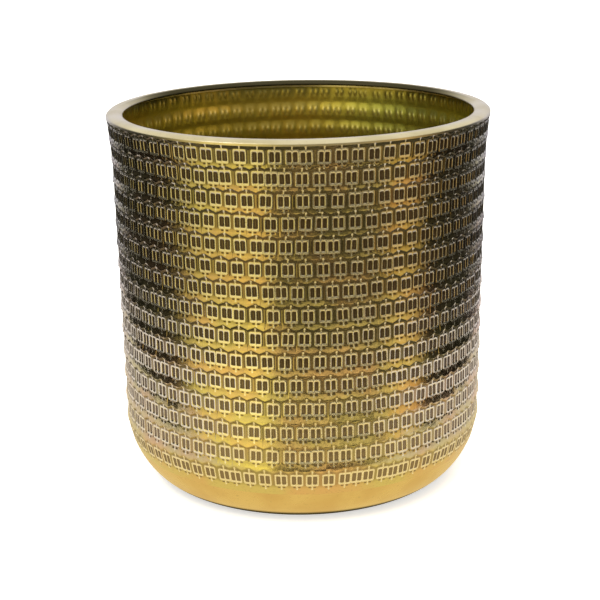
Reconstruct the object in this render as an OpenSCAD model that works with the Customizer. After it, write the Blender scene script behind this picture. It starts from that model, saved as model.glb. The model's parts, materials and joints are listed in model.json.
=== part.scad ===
/* [Pot] */
// Overall height, from the resting ring to the crown of the rim
pot_h = 198; // [150:1:260]
// Outer diameter across the rim
rim_d = 200; // [199:0.5:206]
// Thickness of the sheet brass
sheet_t = 1.0; // [0.6:0.1:1.2]

/* [Wall] */
// Outer diameter where the straight wall meets the rounded shoulder
waist_d = 193.4; // [184:0.1:193.4]
// Growth of the outer radius for each millimetre of height
wall_slope = 0.0102; // [0:0.0001:0.0102]
// How far the wall turns outwards just below the rim
flare = 1.6; // [0:0.1:1.6]
// Height of the flared stretch
flare_h = 26; // [16:1:40]

/* [Shoulder and base] */
// Height of the rounded shoulder
shoulder_h = 34; // [30:1:44]
// Diameter of the circle where the shoulder turns flat
foot_d = 149; // [140:1:152]
// Exponent of the shoulder's curve, 2 for an ellipse
shoulder_e = 1.65; // [1.5:0.05:2.2]
// Height at which the stamped wall ends and the plain base pan begins
joint_z = 19; // [16:1:22]
// Inner diameter of the flat ring that the pot rests on
ring_d = 132; // [100:1:134]
// How far the middle of the floor is raised above the resting ring
dish_h = 1.6; // [0.8:0.1:3]

/* [Rim] */
// Width of the rim ring, seen from above
rim_w = 8.6; // [6:0.1:12]
// Height of the rim ring above its seat on the wall
rim_h = 2.6; // [2:0.1:4]
// Height of the skirt that drops inside the wall's mouth
skirt_h = 2; // [1.5:0.1:4]
// Thickness of the skirt
skirt_t = 1.2; // [0.8:0.1:1.6]

/* [Hidden] */
$fn = 180;

rim_r = rim_d / 2;
waist_r = waist_d / 2;
foot_r = foot_d / 2;
ring_r = ring_d / 2;
// Height of the plain edge below the rim's crown, and the radius of its inner corner
rim_edge = 0.7;
seat_z = pot_h - rim_h;
below_steps = 9;
above_steps = 7;
flare_steps = 5;
lap_steps = 3;
joggle_steps = 2;
rim_steps = 24;
corner_steps = 4;

// Angle along the shoulder's curve: 0 at the waist, 90 at the foot
function shoulder_angle(z) = asin(pow((shoulder_h - z) / shoulder_h, shoulder_e / 2));
function shoulder_point(a) = [
    foot_r + (waist_r - foot_r) * pow(cos(a), 2 / shoulder_e),
    shoulder_h * (1 - pow(sin(a), 2 / shoulder_e))
];
function flare_share(z) = max(0, (z - seat_z + flare_h) / flare_h);
function wall_point(z) = [
    waist_r + (z - shoulder_h) * wall_slope + flare * pow(flare_share(z), 1.5),
    z
];

// The outer line of the sheet, from the foot up to the seat of the rim
joint_a = shoulder_angle(joint_z);
flare_start = seat_z - flare_h;
skirt_z = seat_z - skirt_h;
below_joint = [for (i = [0:below_steps]) shoulder_point(90 - (90 - joint_a) * i / below_steps)];
above_joint = [for (i = [1:above_steps]) shoulder_point(joint_a * (1 - i / above_steps))];
flared = [
    for (i = [0:flare_steps])
        wall_point(flare_start + (skirt_z - flare_start) * i / flare_steps)
];
outer_line = concat(below_joint, above_joint, flared, [wall_point(seat_z)]);
last = len(outer_line) - 1;

// Points of the outer line, moved inwards at right angles to the sheet
function along(i) = outer_line[i + 1] - outer_line[i - 1];
function inward(i) = i == 0 ? [0, 1] : i == last ? [-1, 0] : [-along(i)[1], along(i)[0]] / norm(along(i));
function layer(i, depth) = outer_line[i] + inward(i) * depth;
function layers(from, to, depth) =
    [for (k = [0:abs(to - from)]) layer(from + k * sign(to - from), depth)];

// The sheet body that carries the rows of stamped marks
module stamped_wall() {
    color("darkgoldenrod")
        rotate_extrude()
            polygon(concat(
                layers(below_steps, last, 0),
                layers(last, below_steps, sheet_t)
            ));
}

// The plain spun dish: its lip laps inside the wall, and its floor is raised in the middle
module base_pan() {
    lap_end = below_steps + lap_steps;
    joggle_start = below_steps - joggle_steps;
    slope_r = ring_r - 3 * dish_h;
    color("goldenrod")
        rotate_extrude()
            polygon(concat(
                [[0, dish_h], [slope_r, dish_h], [ring_r, 0]],
                layers(0, below_steps, 0),
                layers(below_steps, lap_end, sheet_t),
                layers(lap_end, below_steps, 2 * sheet_t),
                layers(joggle_start, 0, sheet_t),
                [[ring_r, sheet_t], [slope_r, dish_h + sheet_t], [0, dish_h + sheet_t]]
            ));
}

// The hoop that caps the wall: crowned above, seated on the wall's edge, with a skirt inside it
module rim_ring() {
    half_w = rim_w / 2;
    middle_r = rim_r - half_w;
    edge_z = seat_z + rim_edge;
    crown = [for (i = [0:rim_steps]) let (a = 180 * i / rim_steps)
        [middle_r + half_w * cos(a), edge_z + (rim_h - rim_edge) * sin(a)]];
    corner = [for (i = [1:corner_steps]) let (a = 180 + 90 * i / corner_steps)
        [middle_r - half_w + rim_edge * (1 + cos(a)), edge_z + rim_edge * sin(a)]];
    skirt = [
        layer(last, sheet_t + skirt_t), layer(last - 1, sheet_t + skirt_t),
        layer(last - 1, sheet_t), layer(last, sheet_t)
    ];
    color("tan")
        rotate_extrude()
            polygon(concat(crown, corner, skirt, [[rim_r, seat_z]]));
}

stamped_wall();
base_pan();
rim_ring();
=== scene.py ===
"""The looks of a hand-stamped brass planter pot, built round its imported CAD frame."""

import json
import math

import bpy
import numpy as np
from mathutils import Matrix, Vector

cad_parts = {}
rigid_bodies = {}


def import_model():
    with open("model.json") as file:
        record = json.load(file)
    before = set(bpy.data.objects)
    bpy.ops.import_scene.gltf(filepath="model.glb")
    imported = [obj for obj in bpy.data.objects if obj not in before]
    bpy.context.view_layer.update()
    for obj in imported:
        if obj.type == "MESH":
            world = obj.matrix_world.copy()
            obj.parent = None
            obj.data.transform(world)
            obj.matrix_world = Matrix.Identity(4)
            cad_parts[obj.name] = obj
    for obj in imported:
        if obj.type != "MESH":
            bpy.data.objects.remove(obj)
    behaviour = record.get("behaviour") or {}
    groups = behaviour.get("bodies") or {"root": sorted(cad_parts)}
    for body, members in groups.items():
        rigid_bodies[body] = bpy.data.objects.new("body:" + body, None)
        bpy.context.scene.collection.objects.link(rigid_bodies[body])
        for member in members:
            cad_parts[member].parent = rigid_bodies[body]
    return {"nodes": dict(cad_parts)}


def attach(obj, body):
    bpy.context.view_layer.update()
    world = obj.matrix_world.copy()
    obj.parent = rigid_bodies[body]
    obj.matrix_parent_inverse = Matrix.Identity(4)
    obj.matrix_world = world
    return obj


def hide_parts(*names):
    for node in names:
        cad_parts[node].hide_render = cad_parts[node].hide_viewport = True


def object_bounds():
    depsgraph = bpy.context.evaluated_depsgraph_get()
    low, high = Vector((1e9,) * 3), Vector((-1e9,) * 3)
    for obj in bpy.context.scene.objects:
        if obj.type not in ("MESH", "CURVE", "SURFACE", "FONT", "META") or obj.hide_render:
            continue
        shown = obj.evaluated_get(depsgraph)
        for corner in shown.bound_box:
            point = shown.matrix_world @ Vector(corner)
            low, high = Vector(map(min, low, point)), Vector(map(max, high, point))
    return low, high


for old in list(bpy.data.objects):
    bpy.data.objects.remove(old)
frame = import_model()
CAD_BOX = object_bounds()
NODES = frame["nodes"]
MM = 0.001
RANDOM = np.random.default_rng(7)

# ---------------------------------------------------------------- the stamped rows, in millimetres
ROWS = 15
MARKS = 78  # marks in each row
FIRST_ROW = 5.2  # from the wall's top edge down to the middle of the first row
ROW_PITCH = 10.45
PITCH_GROWTH = 0.085  # half of what the pitch gains from one row to the next
GAP_WANDER, GAP_LIMIT = 0.05, 0.12  # how unevenly the marks follow each other, as shares of their pitch
TIGHT_SHARE, TIGHT_GAP = 0.15, 0.77  # some marks were struck so close that they share a side
TURN_WANDER = math.radians(1.1)
HEIGHT_WANDER, HEIGHT_LIMIT = 0.14, 0.35
DEPTH_WANDER, DEPTH_LIMIT = 0.08, 0.15

# Downwards, each row is a sharp step in, a flat and a slope back out to the land
TROUGH, TROUGH_GROWTH = 0.3, 0.17  # the flat's depth, and what it gains per mm of slope over SHORT_RAMP
END_SHARE = 0.65  # the first and last rows are beaten in by this share of it
ROOF_UP, ROOF_FALL = 5.75, 0.42  # the step's height over a mark's middle, and its fall to each side per mm
ROOF_CLEAR = 0.05  # the step stays this far below the band's top edge
STEP_RUN = 0.55  # run of the step
INNER_RUN, INNER_SHARE = 4.0, 0.6  # the same on the inner face, and how much of the depth shows there
RAMP_TOP = -3.3  # below this height the row slopes back out
SHORT_RAMP = 2.2  # run of the shortest slope, below the first row
NEXT_ROOF = 5.0  # a slope ends at this height over the next row's middle
LAST_REACH = 5.9  # how far below its middle the last row's slope runs out
DIRT_SHADE_STARTS, DIRT_SHADE_ENDS = (-0.65, -0.2), (0.4, 1.3)  # the step's dirt and painted shade, downwards from its upper edge
FLAT_DIRT = 0.62  # how much dirt lies on the flat, as a share of the step's dirt and painted shade
FLAT_ENDS = 0.3, 1.0  # shares of the flat's depth between which it thins out on the slope
RIM_SHADE, RIM_FROM, RIM_TO = 0.9, 1.2, 2.8  # painted shadow close under the rim, and where it thins out
RELIEF = 0.36  # depth of the mark's windows below its raised lines
LINE_RISE = 0.9  # how much of a hollow's depth a raised line stands up again
HAIR = 0.5  # height of the faint ridge in each window, as a share of the raised lines'
PIT = 0.3  # depth of the pits beside the pins, as a share of the windows'
FIELD_DEPTH = 0.45  # depth of the field round the mark, as a share of its windows'
SHEET = 1.0  # thickness of the sheet
BULGE = 0.34  # height of a mark's back on the inner face
SKIRT_FROM, SKIRT_TO = 2.1, 3.2  # the inner relief starts this far down, below the rim's skirt
LAP_FROM, LAP_TO = 10, 8.5  # and ends this far from the wall's foot, above the pan's lip

# The punch: a square outline with a bar down its middle, on a six-sided field with a pin at each end
BOX_W, BOX_H, BOX_ROUND = 3.3, 3.6, 0.75  # half sizes and corner radius
LINE = 0.9  # width of the raised outline at its sides
HEAD = 1.2  # and along its head and foot
BAR = 0.42  # half width of the middle bar
WINDOW_ROUND = 0.45  # corner radius of the windows beside it
PIN = 0.4  # half width of the pins
PIN_UP, PIN_DOWN = 5.5, 5.5  # where the pins end, from the middle of the mark
KNOB, KNOB_IN = 0.6, 0.3  # radius of the pins' heads, and how far in from the end their middles are
FIELD_W = 4.25
FIELD_UP, FIELD_DOWN = 5.7, 5.2
FIELD_SHOULDER = 3.7  # height at which the field's sides turn in towards its points
FIELD_FOOT = -3.9, -3.0  # the field fades out downwards between these heights
EDGE = 0.2  # about the run of the sloping flanks
CROWN, CROWN_RUN = 0.32, 0.42  # how much lower a raised line is at its sides, and how far in from them
HAIR_X, HAIR_HALF, HAIR_RUN = 1.38, 0.1, 0.3  # the ridge's place, half width and flank
HAIR_ENDS = 1.3, 2.0  # heights between which it fades out
PIT_X, PIT_W = 1.25, 0.8  # place and half width of the pits beside each pin
LOW_PIT, LOW_PIT_H, LOW_PIT_DEPTH = -4.2, 0.5, 0.9  # height, half height and depth of the lower ones
HIGH_PIT, HIGH_PIT_H, HIGH_PIT_DEPTH = 4.15, 0.45, 0.75
PAD_X, PAD_W, PAD_H, PAD_SHARE = 1.5, 1.2, 2.1, 0.65  # the two pads on a mark's back
BACK_W, BACK_H, BACK_ROUND, BACK_SHARE = 3.5, 4.0, 2.0, 0.35  # the swelling under both
PIT_EDGE, PAD_EDGE = (0.5, 1.4), (0.3, 1.1)  # shares of a half size between which it levels out
BOX_EDGE, BACK_EDGE = (-0.3, 0.0), (-1.8, 0.6)  # the same, as distances from an outline

# Grid lines over half a mark: the punch's edges fall on them
ACROSS = [0.26, 0.52, 0.95, 1.38, 1.81, 2.24, 2.5, 2.85, 3.2, 3.46, 3.7, 3.95]
UP = [0.0, 1.2, 1.8, 2.24, 2.5, 3.0, 3.5, 3.76, 4.1, 4.45, 4.8, 5.15, 5.5]
DOWN = [-1.2, -1.8, -2.24, -2.5, -3.0, -3.5, -3.76, -4.05, -4.4, -4.75, -5.1, -5.5]
INNER = [4.4, 3.2, 2.4, 1.6, 0.8, 0.0, -0.8, -1.6, -2.4, -3.2, -4.4]  # the same on the inner face
KEPT = 2.5  # grid lines this near a mark's middle are never squeezed by its neighbours
SPARE = 0.1  # least room between the others and the line halfway to the next mark
LINE_GAP = 0.3  # least room between a grid line and its band's edge
LEAN_RUN = 1.2  # the grid stops leaning with its marks over this distance from its band's edge
OVERLAP = 0.5  # how far past a band's edges its normals look
PLAIN_STEP, PLAIN_GAP = 0.7, 0.4  # spacing of the grid lines below the last row's marks

# How finely things are divided
WALL_SAMPLES, SOFTENED = 400, 13  # samples down the wall's line, and how many are averaged into one
TURNED = 360  # segments round a turned piece
WAVES = 3, 5, 8, 13, 21  # waves round it that make it uneven
DENTED = 0.6  # only past this share of its radius
RIM_WAVER = 0.00012  # metres
SHARP = math.radians(28)  # corners of a turned outline that turn by more stay sharp
SHADED_SHARP = math.radians(35)

# The bake layout of a band: strips of its outer face, of its inner face and of its two edges, upwards
STRIPS = 6
OUTER_TOP, INNER_TOP, EDGE_TOP = 0.56, 0.96, 0.98
STRIP_GAP = 0.004  # gap between the strips


def smooth(value, low, high):
    """0 below low, 1 above high, and a smooth step between."""
    t = np.clip((value - low) / (high - low), 0, 1)
    return t * t * (3 - 2 * t)


def round_box(x, y, half_w, half_h, radius):
    """Distance from a rounded rectangle's edge, negative inside."""
    dx, dy = np.abs(x) - half_w + radius, np.abs(y) - half_h + radius
    outside = np.hypot(np.maximum(dx, 0), np.maximum(dy, 0))
    return outside + np.minimum(np.maximum(dx, dy), 0) - radius


def field_distance(x, y):
    """Distance from the edge of the mark's six-sided field, negative inside."""
    across = np.abs(x)
    sides = across - FIELD_W
    tips = []
    for tip, up in ((FIELD_UP, y), (FIELD_DOWN, -y)):
        rise = tip - FIELD_SHOULDER
        length = math.hypot(rise, FIELD_W)
        tips.append(((up - tip) * FIELD_W + across * rise) / length)
    return np.maximum(sides, np.maximum(*tips))


def raised_lines(x, y):
    """1 on the mark's raised lines, 0 in its hollows."""
    box = round_box(x, y, BOX_W, BOX_H, BOX_ROUND)
    outline = np.maximum(box, -box - LINE)
    bar = np.maximum(np.abs(x) - BAR, np.abs(y) - BOX_H)
    # The hollows beside the bar have round heads: each is a window cut in the square
    half = (BOX_W - LINE - BAR) / 2
    middle = BAR + half
    window = round_box(np.abs(x) - middle, y, half, BOX_H - HEAD, WINDOW_ROUND)
    frame_of_windows = np.maximum(box, -window)
    pin = np.maximum(np.abs(x) - PIN, np.maximum(y - PIN_UP, -y - PIN_DOWN))
    pin = np.maximum(pin, -box)
    knob_up = np.hypot(x, y - PIN_UP + KNOB_IN) - KNOB
    knob_down = np.hypot(x, y + PIN_DOWN - KNOB_IN) - KNOB
    nearest = np.minimum.reduce([outline, bar, frame_of_windows, pin, knob_up, knob_down])
    crown = 1 - CROWN * (1 - smooth(-nearest, 0, CROWN_RUN))
    return crown * (1 - smooth(nearest, -EDGE * 0.5, EDGE * 0.8))


def field(x, y):
    """1 inside the mark's six-sided field, 0 on the land outside it."""
    return 1 - smooth(field_distance(x, y), -EDGE, EDGE / 4)


def hair_lines(x, y):
    """The faint ridge down the middle of each window, 0 to 1."""
    ridge = np.abs(np.abs(x) - HAIR_X) - HAIR_HALF
    return (1 - smooth(ridge, 0, HAIR_RUN)) * (1 - smooth(np.abs(y), *HAIR_ENDS))


def pits(x, y, height, half_height):
    """The pits to both sides of a pin, 0 to 1."""
    away = np.hypot((np.abs(x) - PIT_X) / PIT_W, (y - height) / half_height)
    return 1 - smooth(away, *PIT_EDGE)


def sunken(x, y):
    """How deep a blow pressed: 0 on the land, 1 in the windows. And its pits beside the pins, 0 to 1."""
    box = 1 - smooth(round_box(x, y, BOX_W, BOX_H, BOX_ROUND), *BOX_EDGE)
    around = FIELD_DEPTH * field(x, y) * smooth(y, *FIELD_FOOT)
    low = LOW_PIT_DEPTH * pits(x, y, LOW_PIT, LOW_PIT_H)
    high = HIGH_PIT_DEPTH * pits(x, y, HIGH_PIT, HIGH_PIT_H)
    return np.maximum(around, box), np.maximum(low, high)


def back(x, y):
    """Height of the soft pads that a blow raises on the inner face, 0 to 1."""
    pads = 1 - smooth(np.hypot((np.abs(x) - PAD_X) / PAD_W, y / PAD_H), *PAD_EDGE)
    whole = 1 - smooth(round_box(x, y, BACK_W, BACK_H, BACK_ROUND), *BACK_EDGE)
    return PAD_SHARE * pads + BACK_SHARE * whole


# ---------------------------------------------------------------- lines read from the frame
def section(node):
    """The corners of a turned CAD part's outline at angle 0, in order, as (radius, height) in metres."""
    mesh = NODES[node].data
    spots = np.array([v.co for v in mesh.vertices])
    flat = (np.abs(spots[:, 1]) < 1e-7) & (spots[:, 0] > 0)
    keys = [tuple(np.round(spot[[0, 2]] * 1e6).astype(int)) for spot in spots]
    links = {}
    for edge in mesh.edges:
        a, b = edge.vertices
        if flat[a] and flat[b] and keys[a] != keys[b]:
            links.setdefault(keys[a], set()).add(keys[b])
            links.setdefault(keys[b], set()).add(keys[a])
    ends = [key for key in links if len(links[key]) == 1]
    line = [min(ends) if ends else min(links, key=lambda key: (key[1], key[0]))]
    while True:
        onward = [key for key in sorted(links[line[-1]], reverse=True) if key not in line]
        if not onward:
            break
        line.append(onward[0])
    return np.array(line) * 1e-6


class Wall:
    """The outer line of the stamped wall, measured down from its top edge."""

    def __init__(self):
        loop = section("stamped_wall")
        top = np.lexsort((loop[:, 0], loop[:, 1]))[-1]
        foot = np.argmin(loop[:, 1])
        line = loop[min(top, foot): max(top, foot) + 1]
        line = line[::-1] if line[0][1] < line[-1][1] else line
        steps = np.hypot(*np.diff(line, axis=0).T)
        self.down = np.concatenate([[0], np.cumsum(steps)])
        self.length = self.down[-1]
        self.fine = np.linspace(0, self.length, WALL_SAMPLES)
        rounded = np.stack([np.interp(self.fine, self.down, line[:, i]) for i in (0, 1)])
        kernel = np.hanning(SOFTENED) / np.hanning(SOFTENED).sum()
        ends = ((0, 0), (SOFTENED // 2, SOFTENED // 2))
        padded = np.pad(rounded, ends, mode="reflect", reflect_type="odd")
        self.soft = np.array([np.convolve(row, kernel, mode="valid") for row in padded])
        slope = np.gradient(self.soft, axis=1)
        self.out = np.stack([-slope[1], slope[0]]) / np.hypot(*slope)

    def place(self, angle, down, height):
        """Points at an angle round the pot and a distance down the wall, raised out of it by height."""
        down = np.clip(down, 0, self.length)
        radius, level = (np.interp(down, self.fine, row) for row in self.soft)
        out_r, out_z = (np.interp(down, self.fine, row) for row in self.out)
        radius, level = radius + out_r * height, level + out_z * height
        return np.stack([radius * np.sin(angle), -radius * np.cos(angle), level], axis=-1)

    def radius(self, down):
        """The pot's radius at a distance down the wall."""
        return np.interp(down, self.fine, self.soft[0])


WALL = Wall()


# ---------------------------------------------------------------- where each blow of the punch fell
class Row:
    """One row of marks: angles round the pot, distances down the wall, turns and depths."""

    def __init__(self, index):
        self.middle = (FIRST_ROW + ROW_PITCH * index + PITCH_GROWTH * index**2) * MM
        self.radius = float(WALL.radius(self.middle))
        gaps = 1 + RANDOM.normal(0, GAP_WANDER, MARKS).clip(-GAP_LIMIT, GAP_LIMIT)
        gaps[RANDOM.random(MARKS) < TIGHT_SHARE] = TIGHT_GAP
        turns = np.cumsum(gaps / gaps.sum()) * 2 * math.pi
        self.angles = turns - turns[0] + RANDOM.uniform(0, turns[1] - turns[0])
        self.shifts = RANDOM.normal(0, HEIGHT_WANDER, MARKS).clip(-HEIGHT_LIMIT, HEIGHT_LIMIT)
        self.turns = RANDOM.normal(0, TURN_WANDER, MARKS)
        self.depths = 1 + RANDOM.normal(0, DEPTH_WANDER, MARKS).clip(-DEPTH_LIMIT, DEPTH_LIMIT)

    def nearest(self, angle, step):
        """For each angle, the number of the mark that lies step marks after the nearest one."""
        ends = np.concatenate([self.angles[-1:] - 2 * math.pi, self.angles, self.angles[:1] + 2 * math.pi])
        between = (ends[:-1] + ends[1:]) / 2
        return (np.searchsorted(between, angle % (2 * math.pi)) - 1 + step) % MARKS

    def local(self, mark, angle, down):
        """Millimetres right of and above a mark's middle, in the mark's own turned directions."""
        turn = (angle - self.angles[mark] + math.pi) % (2 * math.pi) - math.pi
        x = turn * self.radius / MM
        y = (self.middle - down) / MM - self.shifts[mark]
        lean = self.turns[mark]
        return x * np.cos(lean) + y * np.sin(lean), y * np.cos(lean) - x * np.sin(lean)


LINES = [Row(index) for index in range(ROWS)]
BOUNDS = [0.0] + [(a.middle + b.middle) / 2 for a, b in zip(LINES, LINES[1:])] + [WALL.length]


def near_rows(index):
    """The numbers of a row and its neighbours."""
    return [row for row in range(index - 1, index + 2) if 0 <= row < ROWS]


def slope_reach(index):
    """How far below its middle a row's slope runs out, in millimetres."""
    if index == ROWS - 1:
        return LAST_REACH
    return (LINES[index + 1].middle - LINES[index].middle) / MM - NEXT_ROOF


def trough(index, angle, down, step_run):
    """How far a row is beaten in, in millimetres, and how much dirt and painted shade lies there, 0 to 1."""
    row = LINES[index]
    mark = row.nearest(angle, 0)
    x, y = row.local(mark, angle, down)
    roof = np.minimum(ROOF_UP - ROOF_FALL * np.abs(x), (row.middle - BOUNDS[index]) / MM - ROOF_CLEAR)
    step = smooth(roof - y, 0, step_run)
    reach = slope_reach(index)
    slope = np.clip((y + reach) / (RAMP_TOP + reach), 0, 1)
    full = TROUGH + TROUGH_GROWTH * max(reach + RAMP_TOP - SHORT_RAMP, 0)
    share = END_SHARE if index in (0, ROWS - 1) else 1
    depth = full * share * step * slope * row.depths[mark]
    # dirt and painted shadow along the step where each row falls in
    dirt_and_shade = smooth(roof - y, *DIRT_SHADE_STARTS) * (1 - smooth(roof - y, *DIRT_SHADE_ENDS))
    return depth, np.maximum(dirt_and_shade, FLAT_DIRT * step * smooth(slope, *FLAT_ENDS))


def blows(index, angle, down):
    """How far each point lies in a hollow, in a pit, on a raised line and up a mark's back."""
    hollow, pit, line, swell = (np.zeros(np.broadcast(angle, down).shape) for _ in range(4))
    for near in near_rows(index):
        row = LINES[near]
        for step in (-1, 0, 1):
            mark = row.nearest(angle, step)
            x, y = row.local(mark, angle, down)
            pressed, pitted = sunken(x, y)
            hollow = np.maximum(hollow, pressed * row.depths[mark])
            pit = np.maximum(pit, pitted)
            swell = np.maximum(swell, back(x, y) * row.depths[mark])
            if step == 0:
                line = np.maximum(line, np.maximum(raised_lines(x, y), HAIR * hair_lines(x, y)))
    return hollow, pit, line, swell


def beaten(index, angle, down, step_run):
    """The deepest of the troughs of a row and its neighbours, and the most dirt and painted shade."""
    pairs = [trough(near, angle, down, step_run) for near in near_rows(index)]
    return (np.maximum.reduce(layer) for layer in zip(*pairs))


# ---------------------------------------------------------------- meshes
def ring_quads(lines, columns, first=0, inward=False):
    """Quads of a lattice that closes round the pot, facing outwards or inwards."""
    column = np.arange(columns)
    onward = (column + 1) % columns
    line = first + np.arange(lines - 1)[:, None] * columns
    after = line + columns
    quads = np.stack([line + column, after + column, after + onward, line + onward], axis=-1).reshape(-1, 4)
    return quads[:, ::-1] if inward else quads


def make_mesh(name, points, faces):
    """A smooth-shaded mesh from an array of points and arrays of three- or four-cornered faces."""
    mesh = bpy.data.meshes.new(name)
    corners = np.concatenate([part.ravel() for part in faces])
    sizes = np.concatenate([np.full(len(part), part.shape[1]) for part in faces])
    mesh.vertices.add(len(points))
    mesh.vertices.foreach_set("co", points.ravel())
    mesh.loops.add(len(corners))
    mesh.loops.foreach_set("vertex_index", corners)
    mesh.polygons.add(len(sizes))
    mesh.polygons.foreach_set("loop_start", np.concatenate([[0], np.cumsum(sizes)[:-1]]))
    mesh.update(calc_edges=True)
    mesh.validate()
    mesh.shade_smooth()
    return mesh


def make_piece(mesh, node, material):
    """An object of the visual model that rides on the pot and stands for a CAD node."""
    piece = bpy.data.objects.new(mesh.name, mesh)
    bpy.context.collection.objects.link(piece)
    mesh.materials.append(material)
    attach(piece, "root")
    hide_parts(node)
    return piece


def set_bake_layout(mesh, places):
    """The UV layer that the bake uses: one place for each corner of each face."""
    layer = mesh.uv_layers.new(name="OFBake")
    layer.uv.foreach_set("vector", places.astype(np.float32).ravel())


def strips(lines, columns, low, high, count):
    """UV corners of a lattice cut into strips that are stacked between two heights of the square."""
    column = np.arange(columns)
    per = columns // count
    strip, along = column // per, column % per
    tall = (high - low) / count
    base = low + strip * tall + STRIP_GAP
    line = np.arange(lines - 1)[:, None] / (lines - 1) * (tall - 2 * STRIP_GAP)
    step = (tall - 2 * STRIP_GAP) / (lines - 1)
    left, right = along / per, (along + 1) / per
    u = np.broadcast_to(np.stack([left, left, right, right], axis=-1), (lines - 1, columns, 4))
    v = np.stack([base + line, base + line + step, base + line + step, base + line], axis=-1)
    return np.stack([u, v], axis=-1).reshape(-1, 4, 2)


def lattice_normals(grid):
    """Normals of a closed lattice of points, from the differences across each point."""
    along = np.roll(grid, -1, axis=1) - np.roll(grid, 1, axis=1)
    across = np.gradient(grid, axis=0)
    normals = np.cross(across, along)
    sizes = np.linalg.norm(normals, axis=-1, keepdims=True)
    return normals / np.where(sizes > 0, sizes, 1)


def squeezed(room):
    """Column offsets on one side of each mark, drawn together where a neighbour leaves little room."""
    offsets = np.array(ACROSS)
    share = np.minimum(1, (room - KEPT - SPARE) / (offsets[-1] - KEPT))[:, None]
    return np.where(offsets > KEPT, KEPT + (offsets - KEPT) * share, offsets)


def column_offsets(row):
    """Each grid column's offset from its mark's middle in mm, and the mark's room on that side."""
    half = np.diff(np.concatenate([row.angles, row.angles[:1] + 2 * math.pi])) / 2 * row.radius / MM
    right, left = half, np.roll(half, 1)
    middle = np.zeros((MARKS, 1))
    columns = np.concatenate([-squeezed(left)[:, ::-1], middle, squeezed(right), right[:, None]], axis=1)
    return columns, np.where(columns < 0, left[:, None], right[:, None])


def grid_levels(index):
    """Heights of a band's grid lines over its row's middle in mm, with one more line past each edge."""
    middle = LINES[index].middle
    top, low = (middle - BOUNDS[index]) / MM, (BOUNDS[index + 1] - middle) / MM
    inside = [y for y in UP[::-1] + DOWN if -low + LINE_GAP < y < top - LINE_GAP]
    if index == ROWS - 1:
        inside += list(np.arange(inside[-1] - PLAIN_STEP, -low + PLAIN_GAP, -PLAIN_STEP))
    return np.array([top + OVERLAP, top] + inside + [-low, -low - OVERLAP])


def outer_grid(index):
    """Angles and distances down the wall of a band's outer lattice, which follows each mark's lean."""
    row = LINES[index]
    columns, room = column_offsets(row)
    levels = grid_levels(index)
    top, low = levels[1], -levels[-2]
    x, y = columns[None], levels[:, None, None]
    kept_across = np.clip((room - np.abs(columns)) / (room - KEPT), 0, 1)[None]
    kept_up = np.clip(np.minimum(top - y, low + y) / LEAN_RUN, 0, 1)
    kept = kept_across * kept_up
    lean, shift = row.turns[:, None], row.shifts[:, None]
    turned_x = x - kept * y * np.sin(lean)
    turned_y = y + kept * (x * np.sin(lean) + shift)
    angle = row.angles[:, None] + turned_x * MM / row.radius
    down = row.middle - turned_y * MM
    return angle.reshape(len(levels), -1), down.reshape(len(levels), -1)


def outer_face(index):
    """A band's outer lattice: angles, points, normals, how hollow and raised each point is, and its dirt and
    painted shade.
    """
    angle, down = outer_grid(index)
    hollow, pit, line, _ = blows(index, angle, down)
    depth, dirt_and_shade = beaten(index, angle, down, STEP_RUN)
    height = -depth - RELIEF * np.maximum(hollow, PIT * pit) * (1 - LINE_RISE * line)
    points = WALL.place(angle, down, height * MM)
    # painted shadow under the rim's lip, added to the dirt and painted shade
    dirt_and_shade = np.maximum(dirt_and_shade, RIM_SHADE * (1 - smooth(down, RIM_FROM * MM, RIM_TO * MM)))
    layers = (angle, points, lattice_normals(points), np.maximum(hollow, pit), line, dirt_and_shade)
    return [layer[1:-1] for layer in layers]


def inner_face(index, angle):
    """A band's inner lattice: points, normals, and how far up a mark's back each point is."""
    top, low = BOUNDS[index], BOUNDS[index + 1]
    middle = LINES[index].middle - np.array(INNER) * MM
    down = np.concatenate([[top - OVERLAP * MM, top], middle, [low, low + OVERLAP * MM]])
    angle, down = np.broadcast_arrays(angle, down[:, None])
    _, _, _, swell = blows(index, angle, down)
    depth, _ = beaten(index, angle, down, INNER_RUN)
    below_skirt = smooth(down, SKIRT_FROM * MM, SKIRT_TO * MM)
    above_lap = 1 - smooth(down, WALL.length - LAP_FROM * MM, WALL.length - LAP_TO * MM)
    depth = SHEET + below_skirt * above_lap * (INNER_SHARE * depth + BULGE * swell)
    points = WALL.place(angle, down, -depth * MM)
    return [layer[1:-1] for layer in (points, -lattice_normals(points), swell)]


def band_faces(outer_lines, inner_lines, columns):
    """Faces of a closed band: its outer face, its inner face, its top edge and its low edge."""
    first = outer_lines * columns
    last_outer, last_inner = first - columns, first + (inner_lines - 1) * columns
    ring = np.arange(columns)
    onward = (ring + 1) % columns
    outside = ring_quads(outer_lines, columns)
    inside = ring_quads(inner_lines, columns, first, inward=True)
    top_edge = np.stack([ring, onward, first + onward, first + ring], axis=-1)
    low_ring = [last_outer + onward, last_outer + ring, last_inner + ring, last_inner + onward]
    return [outside, inside, top_edge, np.stack(low_ring, axis=-1)]


def band_layout(outer_lines, inner_lines, columns):
    """UV corners of a closed band, in the order of its faces."""
    outside = strips(outer_lines, columns, 0.0, OUTER_TOP, STRIPS)
    inside = strips(inner_lines, columns, OUTER_TOP, INNER_TOP, STRIPS)[:, ::-1]
    top_edge = strips(2, columns, INNER_TOP, EDGE_TOP, 1)
    low_edge = strips(2, columns, EDGE_TOP, 1.0, 1)
    return np.concatenate([outside, inside, top_edge, low_edge])


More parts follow.
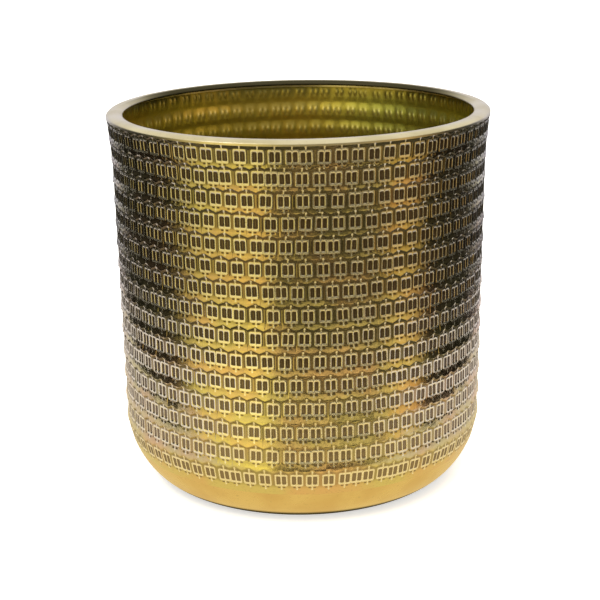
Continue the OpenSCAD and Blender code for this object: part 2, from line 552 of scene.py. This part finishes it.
def paint_band(mesh, hollow, line, tone, dirt_and_shade, swell):
    """What the brass reads at each point: hollow, raised, inner face and tone in one layer, and dirt and
    painted shade.
    """
    none = np.zeros_like(swell)
    outside = np.stack([hollow, line, np.zeros_like(line), tone], axis=-1).reshape(-1, 4)
    # on the inner face the second channel holds each mark's back, which takes a painted highlight
    inside = np.stack([none, swell, np.ones_like(swell), none], axis=-1).reshape(-1, 4)
    relief = mesh.color_attributes.new("relief", "FLOAT_COLOR", "POINT")
    relief.data.foreach_set("color", np.concatenate([outside, inside]).astype(np.float32).ravel())
    dirt_shade_layer = mesh.attributes.new("dirt_and_shade", "FLOAT", "POINT")
    dirt_shade_layer.data.foreach_set("value", np.concatenate([dirt_and_shade.ravel(), none.ravel()]).astype(np.float32))


def shade_band(mesh, faces, normals):
    """Corner normals of a closed band: its lattices' own, and straight up and down on its edges."""
    corner_normals = normals[np.concatenate([part.ravel() for part in faces])]
    edge = faces[-1].size
    corner_normals[-2 * edge: -edge] = (0, 0, 1)
    corner_normals[-edge:] = (0, 0, -1)
    mesh.normals_split_custom_set(corner_normals)


def stamped_band(index, material):
    """One row of marks on its band of the wall, a closed ring with its outer and inner faces."""
    angle, outer, outer_normals, hollow, line, dirt_and_shade = outer_face(index)
    inner, inner_normals, swell = inner_face(index, angle[len(angle) // 2])
    columns = outer.shape[1]
    points = np.concatenate([outer.reshape(-1, 3), inner.reshape(-1, 3)])
    normals = np.concatenate([outer_normals.reshape(-1, 3), inner_normals.reshape(-1, 3)])
    faces = band_faces(len(outer), len(inner), columns)
    tone = RANDOM.random(MARKS)[LINES[index].nearest(angle, 0)]
    mesh = make_mesh(f"stamped_row_{index + 1:02d}", points, faces)
    set_bake_layout(mesh, band_layout(len(outer), len(inner), columns))
    paint_band(mesh, hollow, line, tone, dirt_and_shade, swell)
    shade_band(mesh, faces, normals)
    return make_piece(mesh, "stamped_wall", material)


def corner_turns(line):
    """How sharply a line turns at each of its points, and its direction there."""
    before, after = np.roll(line, 1, axis=0), np.roll(line, -1, axis=0)
    a, b = line - before, after - line
    cross = a[:, 0] * b[:, 1] - a[:, 1] * b[:, 0]
    return np.abs(np.arctan2(cross, (a * b).sum(axis=1))), after - before


def refined(line, closed, times):
    """A finer line through the same points, smooth except at its sharp corners."""
    for _ in range(times):
        count = len(line)
        turn, tangent = corner_turns(line)
        sharp = turn > SHARP
        if not closed:
            sharp[[0, -1]] = True
        finer = []
        for i in range(count if closed else count - 1):
            j = (i + 1) % count
            span = line[j] - line[i]
            size = np.linalg.norm(span)
            slope_i = span if sharp[i] else tangent[i] / np.linalg.norm(tangent[i]) * size
            slope_j = span if sharp[j] else tangent[j] / np.linalg.norm(tangent[j]) * size
            finer.append(line[i])
            finer.append((line[i] + line[j]) / 2 + (slope_i - slope_j) / 8)
        if not closed:
            finer.append(line[-1])
        line = np.clip(np.array(finer), line.min(axis=0), line.max(axis=0))
    return line


def lathe(name, line, closed, waver):
    """A turned piece: a line taken round the pot, uneven by up to waver metres like hand-finished metal."""
    angle = np.arange(TURNED) / TURNED * 2 * math.pi
    phases = RANDOM.uniform(0, 2 * math.pi, len(WAVES))
    uneven = sum(np.sin(k * angle + phase) / len(WAVES) for k, phase in zip(WAVES, phases))
    dent = waver * (0.5 + 0.5 * uneven)[None, :]
    radius = line[:, :1] - np.where(line[:, :1] > line[:, 0].max() * DENTED, dent, 0)
    heights = np.broadcast_to(line[:, 1:], radius.shape)
    grid = np.stack([radius * np.sin(angle), -radius * np.cos(angle), heights], axis=-1)
    faces = [ring_quads(len(line), TURNED)]
    points = grid.reshape(-1, 3)
    ring = np.arange(TURNED)
    onward = (ring + 1) % TURNED
    last = (len(line) - 1) * TURNED
    if closed:
        faces.append(np.stack([last + ring, ring, onward, last + onward], axis=-1))
    else:
        points = np.concatenate([points, [[0, 0, line[0, 1]], [0, 0, line[-1, 1]]]])
        hub = len(points) - 2
        faces.append(np.stack([np.full(TURNED, hub), ring, onward], axis=-1))
        faces.append(np.stack([last + onward, last + ring, np.full(TURNED, hub + 1)], axis=-1))
    mesh = make_mesh(name, points, faces)
    mesh.set_sharp_from_angle(angle=SHADED_SHARP)
    return mesh


# ---------------------------------------------------------------- materials
class Nodes:
    """Short calls for building a node tree."""

    def __init__(self, owner):
        owner.use_nodes = True
        self.tree = owner.node_tree
        self.tree.nodes.clear()

    def add(self, kind, values=None, **settings):
        node = self.tree.nodes.new(kind)
        for name, value in settings.items():
            setattr(node, name, value)
        for key, value in (values or {}).items():
            if isinstance(value, bpy.types.NodeSocket):
                self.tree.links.new(value, node.inputs[key])
            else:
                node.inputs[key].default_value = value
        return node

    def math(self, operation, *values):
        return self.add("ShaderNodeMath", dict(enumerate(values)), operation=operation).outputs[0]

    def mix(self, factor, first, second):
        """A colour between two."""
        values = {0: factor, 6: first, 7: second}
        return self.add("ShaderNodeMix", values, data_type="RGBA").outputs[2]

    def blend(self, factor, first, second):
        """A number between two."""
        return self.add("ShaderNodeMix", {0: factor, 2: first, 3: second}).outputs[0]

    def noise(self, scale, detail, vector):
        values = {"Scale": scale, "Detail": detail, "Vector": vector}
        return self.add("ShaderNodeTexNoise", values).outputs["Fac"]

    def split(self, vector):
        """The x, y and z of a vector."""
        return self.add("ShaderNodeSeparateXYZ", {0: vector}).outputs

    def stretch(self, value, low, high):
        """0 below low, 1 above high, and a smooth step between."""
        values = {"Value": value, "From Min": low, "From Max": high}
        return self.add("ShaderNodeMapRange", values, interpolation_type="SMOOTHSTEP").outputs[0]


def colour(*rgb):
    return (*rgb, 1.0)


def object_space(nodes):
    return nodes.add("ShaderNodeTexCoord").outputs["Object"]


# The stamped wall's outer face
LAND = colour(0.78, 0.69, 0.30)
LAND_WARM = colour(0.84, 0.59, 0.30)
LAND_DULL = colour(0.46, 0.38, 0.20)
RAISED = colour(0.97, 0.90, 0.66)
# colour of dirt and of painted shade
DIRT_AND_SHADE = colour(0.085, 0.07, 0.035)
PATINA = colour(0.085, 0.06, 0.035)
PATINA_WARM = colour(0.17, 0.125, 0.07)
PATINA_FOOT = colour(0.30, 0.235, 0.155)
# the matt dark colour of thick dirt and of painted shade
TARNISH_AND_SHADE = colour(0.022, 0.019, 0.008)
# Its inner face: painted reflection, golden to the left and green to the right, painted highlights on the
# marks' backs and painted shadow under the rim
INNER_DULL = colour(0.74, 0.56, 0.12)
INNER_GLINT = colour(1.0, 0.80, 0.28)
INNER_GREEN = colour(0.47, 0.51, 0.14)
INNER_GREEN_GLINT = colour(0.66, 0.68, 0.30)
INNER_SHADE = colour(0.34, 0.29, 0.07)
# The turned pieces
RIM = colour(0.78, 0.70, 0.48)
RIM_WORN = colour(0.66, 0.58, 0.37)
PAN = colour(0.86, 0.68, 0.32)
PAN_WORN = colour(0.78, 0.58, 0.26)

# Noise scales, per metre
CLOUD, TURNED_CLOUD, SPECK, FINE, GRAIN = 38, 45, 700, 900, 2600
TURN_SQUEEZE = 0.004  # noise round the pot is drawn out to rings by this

# Roughness of the wall's parts, and depth of the bumps in metres
LAND_ROUGH = 0.1, 0.17
RAISED_ROUGH, SUNK_ROUGH, INNER_ROUGH = 0.21, 0.36, 0.33
RIM_ROUGH, PAN_ROUGH = (0.26, 0.40), (0.22, 0.36)
WALL_BUMP, TURNED_BUMP = 0.000035, 0.00004
RAISED_METALLIC = 0.955

# Places on the pot between which one look turns to the next, in metres
FOOT_TO_ABOVE = 0.035, 0.1  # heights: the wall is paler and less darkened towards its foot
CLEAR_TO_BROWN = 0.07, 0.14  # heights: its upper part is browner
INNER_TO_SHADE = 0.184, 0.194  # heights between which the inner face turns to painted shadow under the rim
INNER_TO_GREEN = -0.02, 0.06  # from left to right, where the painted reflection turns from golden to green
RIM_MOUTH = 0.0934, 0.0955  # distances from the axis: the rim has painted shade inside the first
RIM_BACK = 0.0, 0.06  # from front to back, so that only the back has the painted shade
PAN_FOOT = 0.0032, 0.0058  # heights: the pan has painted shade below the first

# Shares
BROWN = 0.33  # of PATINA's colour mixed into the upper part, darker and browner towards the top
LESS_AT_FOOT = 0.5  # of the dirt and painted shade kept at the wall's foot
DIRT_SHADE_SHARES = 0.9, 0.6  # shares of the dirt and painted shade colour where the land is LAND, and where it is LAND_WARM
MATT = 0.75, 0.5  # of matt tarnish and painted shade where the dirt and painted shade are thick, in the same two places
TURNED_SHADE = 0.96  # of matt painted shade where a turned piece is shaded


def finish_metal(nodes, base, roughness, height, depth, metallic, dull):
    """Bare metal with the given colour, roughness and bump, and a matt dark layer of tarnish and painted
    shade over a share of it.
    """
    bump = nodes.add("ShaderNodeBump", {"Height": height, "Distance": depth, "Strength": 1.0})
    values = {"Base Color": base, "Roughness": roughness, "Metallic": metallic, "Normal": bump.outputs[0]}
    shader = nodes.add("ShaderNodeBsdfPrincipled", values)
    matt = nodes.add("ShaderNodeBsdfDiffuse", {"Color": TARNISH_AND_SHADE})
    both = nodes.add("ShaderNodeMixShader", {0: dull, 1: shader.outputs[0], 2: matt.outputs[0]})
    nodes.add("ShaderNodeOutputMaterial", {0: both.outputs[0]})


class WallNodes(Nodes):
    """The stamped wall's node tree, with the masks that its colours, roughness and matt tarnish and painted
    shade share.
    """

    def __init__(self, material):
        super().__init__(material)
        relief = self.add("ShaderNodeAttribute", attribute_name="relief")
        parts = self.add("ShaderNodeSeparateColor", {0: relief.outputs["Color"]}).outputs
        hollow, self.line, self.inner = parts
        self.tone = relief.outputs["Alpha"]
        place = object_space(self)
        self.aside, _, self.height = self.split(place)
        self.cloud = self.stretch(self.noise(CLOUD, 3, place), 0.38, 0.66)
        self.fine = self.noise(FINE, 3, place)
        self.grain = self.noise(GRAIN, 2, place)
        self.outer = self.math("SUBTRACT", 1.0, self.inner)
        self.on_line = self.stretch(self.line, 0.3, 0.8)
        self.off_line = self.math("SUBTRACT", 1.0, self.on_line)
        self.sunk = self.math("MULTIPLY", self.stretch(hollow, 0.1, 0.9), self.off_line)
        self.above_foot = self.stretch(self.height, *FOOT_TO_ABOVE)
        # dirt and painted shade, read from the mesh
        dirt_and_shade = self.add("ShaderNodeAttribute", attribute_name="dirt_and_shade").outputs["Fac"]
        self.dirt_and_shade = self.math("MULTIPLY", dirt_and_shade, self.blend(self.above_foot, LESS_AT_FOOT, 1.0))


def bare_colour(nodes):
    """The brass of the land and of the raised lines."""
    land = nodes.mix(nodes.cloud, LAND, LAND_WARM)
    land = nodes.mix(nodes.math("MULTIPLY", nodes.stretch(nodes.fine, 0.5, 0.75), 0.4), land, LAND_DULL)
    raised = nodes.mix(nodes.stretch(nodes.fine, 0.5, 0.8), RAISED, LAND)
    return nodes.mix(nodes.stretch(nodes.line, 0.4, 0.9), land, raised)


def patina_colour(nodes):
    """The dark patina in the hollows, paler at the wall's foot."""
    warm = nodes.math("MULTIPLY", nodes.tone, nodes.stretch(nodes.grain, 0.35, 0.7))
    return nodes.mix(nodes.above_foot, PATINA_FOOT, nodes.mix(warm, PATINA, PATINA_WARM))


def outer_colour(nodes):
    """Bare brass with dirt and painted shade on the steps, patina in the hollows and a browner upper part.
    """
    darkened = nodes.math("MULTIPLY", nodes.off_line, nodes.blend(nodes.cloud, *DIRT_SHADE_SHARES))
    # darkened with dirt and painted shade
    front = nodes.mix(nodes.math("MULTIPLY", nodes.dirt_and_shade, darkened), bare_colour(nodes), DIRT_AND_SHADE)
    front = nodes.mix(nodes.sunk, front, patina_colour(nodes))
    brown = nodes.math("MULTIPLY", nodes.stretch(nodes.height, *CLEAR_TO_BROWN), BROWN)
    return nodes.mix(brown, front, PATINA)


def inner_colour(nodes):
    """Painted reflection golden to the left and green to the right, painted highlights on the marks' backs
    and painted shadow at the top.
    """
    # painted highlights on the marks' backs
    lit = nodes.math("ADD", nodes.line, nodes.math("MULTIPLY", nodes.fine, 0.5))
    lit = nodes.stretch(lit, 0.35, 1.0)
    golden = nodes.mix(lit, INNER_DULL, INNER_GLINT)
    green = nodes.mix(lit, INNER_GREEN, INNER_GREEN_GLINT)
    # painted reflection: golden to the left, green to the right
    rear = nodes.mix(nodes.stretch(nodes.aside, *INNER_TO_GREEN), golden, green)
    # painted shadow under the rim at the top
    return nodes.mix(nodes.stretch(nodes.height, *INNER_TO_SHADE), rear, INNER_SHADE)


def wall_roughness(nodes):
    rough = nodes.blend(nodes.stretch(nodes.fine, 0.3, 0.7), *LAND_ROUGH)
    rough = nodes.blend(nodes.on_line, rough, RAISED_ROUGH)
    rough = nodes.blend(nodes.sunk, rough, SUNK_ROUGH)
    return nodes.blend(nodes.inner, rough, INNER_ROUGH)


def wall_matt_dirt_and_shade(nodes):
    """The share of the outer face that is matt with thick dirt and painted shade."""
    dirt_and_shade = nodes.math("MULTIPLY", nodes.math("MULTIPLY", nodes.dirt_and_shade, nodes.off_line), nodes.outer)
    return nodes.math("MULTIPLY", nodes.stretch(dirt_and_shade, 0.5, 0.9), nodes.blend(nodes.cloud, *MATT))


def stamped_brass():
    """The stamped wall's brass, outside and inside."""
    material = bpy.data.materials.new("stamped_brass")
    nodes = WallNodes(material)
    base = nodes.mix(nodes.inner, outer_colour(nodes), inner_colour(nodes))
    shares = nodes.math("MULTIPLY", nodes.fine, 0.7), nodes.math("MULTIPLY", nodes.grain, 0.3)
    height = nodes.math("ADD", *shares)
    metallic = nodes.blend(nodes.math("MULTIPLY", nodes.on_line, nodes.outer), 1.0, RAISED_METALLIC)
    finish_metal(nodes, base, wall_roughness(nodes), height, WALL_BUMP, metallic, wall_matt_dirt_and_shade(nodes))
    return material


def axis_distance(nodes, spot):
    squares = [nodes.math("MULTIPLY", spot[i], spot[i]) for i in (0, 1)]
    return nodes.math("SQRT", nodes.math("ADD", *squares))


def round_the_pot(nodes, spot):
    """Coordinates (distance from the axis, turn, height) that draw noise out round the pot."""
    turn = nodes.math("MULTIPLY", nodes.math("ARCTAN2", spot[0], spot[1]), TURN_SQUEEZE)
    values = {0: axis_distance(nodes, spot), 1: turn, 2: spot[2]}
    return nodes.add("ShaderNodeCombineXYZ", values).outputs[0]


def rim_painted_shade(nodes, spot):
    """Where the rim has painted shade: inside its mouth, at the back."""
    inside = nodes.math("SUBTRACT", 1.0, nodes.stretch(axis_distance(nodes, spot), *RIM_MOUTH))
    return nodes.math("MULTIPLY", inside, nodes.stretch(spot[1], *RIM_BACK))


def pan_painted_shade(nodes, spot):
    """Where the pan has painted shade: at its foot."""
    return nodes.math("SUBTRACT", 1.0, nodes.stretch(spot[2], *PAN_FOOT))


def turned_brass(name, shade, worn, roughness, painted_shade):
    """Turned brass with fine rings, and matt painted shade where the given function says."""
    material = bpy.data.materials.new(name)
    nodes = Nodes(material)
    place = object_space(nodes)
    spot = nodes.split(place)
    rings = nodes.noise(FINE, 3, round_the_pot(nodes, spot))
    cloud = nodes.stretch(nodes.noise(TURNED_CLOUD, 4, place), 0.35, 0.7)
    speck = nodes.stretch(nodes.noise(SPECK, 3, place), 0.6, 0.75)
    base = nodes.mix(cloud, shade, worn)
    base = nodes.mix(nodes.math("MULTIPLY", speck, 0.35), base, LAND_DULL)
    uneven = nodes.math("ADD", nodes.math("MULTIPLY", cloud, 0.6), nodes.math("MULTIPLY", rings, 0.4))
    dull = nodes.math("MULTIPLY", painted_shade(nodes, spot), TURNED_SHADE)
    finish_metal(nodes, base, nodes.blend(uneven, *roughness), rings, TURNED_BUMP, 1.0, dull)
    return material


# ---------------------------------------------------------------- the studio
LOW_VIEW = [  # degrees to the right of the camera's side, and the light from there just below the horizon
    (-180, (0.10, 0.10, 0.12)),
    (-142, (0.06, 0.06, 0.07)),
    (-132, (0.012, 0.012, 0.013)),
    (-76, (0.012, 0.012, 0.013)),
    (-62, (0.945, 0.81, 0.324)),
    (-22, (1.323, 1.121, 0.405)),
    (-15, (0.088, 0.08, 0.059)),
    (48, (0.072, 0.061, 0.042)),
    (60, (0.832, 0.559, 0.195)),
    (73, (0.754, 0.507, 0.195)),
    (81, (0.013, 0.012, 0.012)),
    (126, (0.012, 0.012, 0.013)),
    (138, (0.06, 0.06, 0.07)),
    (180, (0.10, 0.10, 0.12)),
]
HIGH_VIEW = [  # the same a little above the horizon
    (-180, (0.78, 0.78, 0.96)),
    (-144, (0.72, 0.73, 0.90)),
    (-128, (0.03, 0.03, 0.033)),
    (-76, (0.02, 0.02, 0.02)),
    (-62, (1.04, 0.884, 0.364)),
    (-22, (1.43, 1.196, 0.442)),
    (-14, (0.165, 0.143, 0.083)),
    (48, (0.135, 0.112, 0.075)),
    (60, (0.858, 0.572, 0.208)),
    (71, (0.65, 0.442, 0.182)),
    (80, (0.02, 0.018, 0.017)),
    (118, (0.03, 0.03, 0.033)),
    (136, (0.72, 0.73, 0.90)),
    (180, (0.78, 0.78, 0.96)),
]
TABLE_VIEW = [  # the same looking down, over the table that the pot stands on
    (-180, (0.95, 0.94, 1.08)),
    (-142, (0.90, 0.88, 1.00)),
    (-128, (0.06, 0.06, 0.06)),
    (-84, (0.05, 0.045, 0.04)),
    (-68, (0.98, 0.82, 0.48)),
    (-20, (0.92, 0.76, 0.42)),
    (10, (0.92, 0.76, 0.42)),
    (66, (0.95, 0.78, 0.48)),
    (82, (0.05, 0.045, 0.04)),
    (128, (0.06, 0.06, 0.06)),
    (142, (0.90, 0.88, 1.00)),
    (180, (0.95, 0.94, 1.08)),
]
TABLE_NEAR = colour(0.84, 0.68, 0.36)  # the table close to the pot, in line with it
TABLE_ASIDE = colour(0.76, 0.71, 0.80)  # and to its sides
OVERHEAD = colour(0.95, 0.92, 0.82)
BACKGROUND = colour(1.0, 1.0, 1.0)

# Upward parts of a direction, from -1 straight down to 1 straight up, between which the light changes
LOW_TO_HIGH = -0.13, -0.06
LOW_TILT = 0.1  # in front of the pot the low view reaches higher by this share
GLOW_STARTS, GLOW_ENDS = (-0.17, -0.12), (-0.07, 0.0)  # a band along the horizon with the table's light
TABLE_TO_LOW = -0.385, -0.32
TABLE_TILT = 0.04  # the table reaches further behind the pot, so its edge is seen higher there
NEAR_TO_TABLE = -0.66, -0.48
HIGH_TO_OVERHEAD = 0.2, 0.5
# Sideways parts of a direction
GLOW_ASIDE, GLOW_SHARES = (0.45, 0.75), (0.9, 0.75)  # the glow's share ahead and to the sides
NEAR_ASIDE = 0.3, 0.6

# The near table, in metres
TABLE_LEFT, TABLE_RIGHT, TABLE_FRONT, TABLE_BACK = -0.38, 0.33, -0.21, 0.5
TABLE_LEVEL = -0.001
NEAR_TO_ASIDE = 0.07, 0.24  # distances sideways between which TABLE_NEAR turns to TABLE_ASIDE
FLOOR_RADIUS, FLOOR_SIDES = 4, 96
FLOOR_GLOW = 0.6

# The camera: where it stands, and which way it looks
CAMERA_RIGHT, CAMERA_AWAY, CAMERA_OVER_RIM = -0.0005, 0.7544, 0.1212
LENS = 86.9
LOOK_DOWN, ROLL = 16.76, -0.867  # degrees


def ramp(nodes, value, stops):
    """A colour ramp over 0 to 1."""
    node = nodes.add("ShaderNodeValToRGB", {0: value})
    elements = node.color_ramp.elements
    while len(elements) < len(stops):
        elements.new(1.0)
    for element, (place, rgb) in zip(elements, stops):
        element.position = place
        element.color = colour(*rgb)
    return node.outputs[0]


def view_light(nodes, spot, view):
    """The light of a view for a direction's turn round the pot."""
    turn = nodes.math("ARCTAN2", spot[0], nodes.math("MULTIPLY", spot[1], -1.0))
    around = nodes.math("ADD", nodes.math("DIVIDE", turn, 2 * math.pi), 0.5)
    return ramp(nodes, around, [((degrees + 180) / 360, rgb) for degrees, rgb in view])


def glow_share(nodes, spot, sideways):
    """How much of the table's light shows in the band along the horizon."""
    above = nodes.math("SUBTRACT", 1.0, nodes.stretch(spot[2], *GLOW_ENDS))
    glow = nodes.math("MULTIPLY", nodes.stretch(spot[2], *GLOW_STARTS), above)
    return nodes.math("MULTIPLY", glow, nodes.blend(nodes.stretch(sideways, *GLOW_ASIDE), *GLOW_SHARES))


def make_world():
    """The room that the metal mirrors, and a plain background for the camera."""
    world = bpy.data.worlds.new("studio")
    bpy.context.scene.world = world
    nodes = Nodes(world)
    spot = nodes.split(nodes.add("ShaderNodeTexCoord").outputs["Generated"])
    low, high, table = (view_light(nodes, spot, view) for view in (LOW_VIEW, HIGH_VIEW, TABLE_VIEW))
    sideways = nodes.math("ABSOLUTE", spot[0])
    over_low = nodes.math("ADD", spot[2], nodes.math("MULTIPLY", spot[1], LOW_TILT))
    light = nodes.mix(nodes.stretch(over_low, *LOW_TO_HIGH), low, high)
    light = nodes.mix(glow_share(nodes, spot, sideways), light, table)
    over_edge = nodes.math("SUBTRACT", spot[2], nodes.math("MULTIPLY", spot[1], TABLE_TILT))
    light = nodes.mix(nodes.stretch(over_edge, *TABLE_TO_LOW), table, light)
    near = nodes.mix(nodes.stretch(sideways, *NEAR_ASIDE), TABLE_NEAR, TABLE_ASIDE)
    light = nodes.mix(nodes.stretch(spot[2], *NEAR_TO_TABLE), near, light)
    light = nodes.mix(nodes.stretch(spot[2], *HIGH_TO_OVERHEAD), light, OVERHEAD)
    seen = nodes.add("ShaderNodeLightPath").outputs["Is Camera Ray"]
    background = nodes.add("ShaderNodeBackground", {0: nodes.mix(seen, light, BACKGROUND)})
    nodes.add("ShaderNodeOutputWorld", {0: background.outputs[0]})


def flat_piece(name, corners, material):
    """A flat piece of the studio with one face."""
    mesh = bpy.data.meshes.new(name)
    mesh.from_pydata(corners, [], [list(range(len(corners)))])
    mesh.materials.append(material)
    piece = bpy.data.objects.new(name, mesh)
    bpy.context.collection.objects.link(piece)
    return piece


def make_floor():
    """A plain pale floor that the metal does not mirror."""
    material = bpy.data.materials.new("pale_floor")
    nodes = Nodes(material)
    values = {"Base Color": colour(0.9, 0.9, 0.9), "Roughness": 0.9}
    values.update({"Emission Color": colour(1.0, 1.0, 1.0), "Emission Strength": FLOOR_GLOW})
    shader = nodes.add("ShaderNodeBsdfPrincipled", values)
    nodes.add("ShaderNodeOutputMaterial", {0: shader.outputs[0]})
    angle = np.arange(FLOOR_SIDES) / FLOOR_SIDES * 2 * math.pi
    edge = [FLOOR_RADIUS * np.sin(angle), -FLOOR_RADIUS * np.cos(angle), np.zeros(FLOOR_SIDES)]
    floor = flat_piece("floor", np.stack(edge, axis=-1).tolist(), material)
    floor.visible_glossy = False


def make_table():
    """A bright table top round the pot, seen only in the metal."""
    material = bpy.data.materials.new("bright_table")
    nodes = Nodes(material)
    sideways = nodes.math("ABSOLUTE", nodes.split(object_space(nodes))[0])
    tint = nodes.mix(nodes.stretch(sideways, *NEAR_TO_ASIDE), TABLE_NEAR, TABLE_ASIDE)
    shader = nodes.add("ShaderNodeEmission", {"Color": tint, "Strength": 1.0})
    nodes.add("ShaderNodeOutputMaterial", {0: shader.outputs[0]})
    material.cycles.emission_sampling = "NONE"
    front = [(TABLE_LEFT, TABLE_FRONT, TABLE_LEVEL), (TABLE_RIGHT, TABLE_FRONT, TABLE_LEVEL)]
    rear = [(TABLE_RIGHT, TABLE_BACK, TABLE_LEVEL), (TABLE_LEFT, TABLE_BACK, TABLE_LEVEL)]
    table = flat_piece("table", front + rear, material)
    table.visible_camera = table.visible_diffuse = table.visible_shadow = False


def make_light(name, place, size, power, tint, seen_in_metal=True):
    """A square lamp that faces the pot."""
    light = bpy.data.lights.new(name, "AREA")
    light.size = size
    light.energy = power
    light.color = tint
    lamp = bpy.data.objects.new(name, light)
    lamp.location = place
    lamp.rotation_euler = (-Vector(place)).to_track_quat("-Z", "Y").to_euler()
    lamp.visible_glossy = seen_in_metal
    bpy.context.collection.objects.link(lamp)


def make_camera():
    """The photo's camera: it looks down at the pot a little, and is slightly rolled."""
    top = CAD_BOX[1][2]
    camera = bpy.data.cameras.new("camera")
    camera.lens = LENS
    holder = bpy.data.objects.new("camera", camera)
    holder.location = (CAMERA_RIGHT, -CAMERA_AWAY, top + CAMERA_OVER_RIM)
    level = Matrix.Rotation(math.radians(90 - LOOK_DOWN), 4, "X")
    holder.rotation_euler = (level @ Matrix.Rotation(math.radians(ROLL), 4, "Z")).to_euler()
    bpy.context.collection.objects.link(holder)
    bpy.context.scene.camera = holder


# ---------------------------------------------------------------- the pot
make_camera()
make_world()
make_floor()
make_table()
make_light("key", place=(-1.0, -0.9, 1.5), size=0.5, power=3, tint=(1.0, 0.97, 0.90))
make_light("softbox", place=(-0.3, -0.2, 2.2), size=2.5, power=60, tint=(1.0, 1.0, 1.0), seen_in_metal=False)
bpy.context.scene.view_settings.view_transform = "Standard"

WALL_BRASS = stamped_brass()
for number in range(ROWS):
    stamped_band(number, WALL_BRASS)

rim_line = refined(section("rim_ring")[::-1], closed=True, times=2)
rim_brass = turned_brass("rim_brass", RIM, RIM_WORN, RIM_ROUGH, rim_painted_shade)
make_piece(lathe("rim_hoop", rim_line, True, RIM_WAVER), "rim_ring", rim_brass)

pan_line = refined(section("base_pan")[::-1], closed=False, times=2)
pan_brass = turned_brass("plain_brass", PAN, PAN_WORN, PAN_ROUGH, pan_painted_shade)
make_piece(lathe("base_dish", pan_line, False, 0.0), "base_pan", pan_brass)
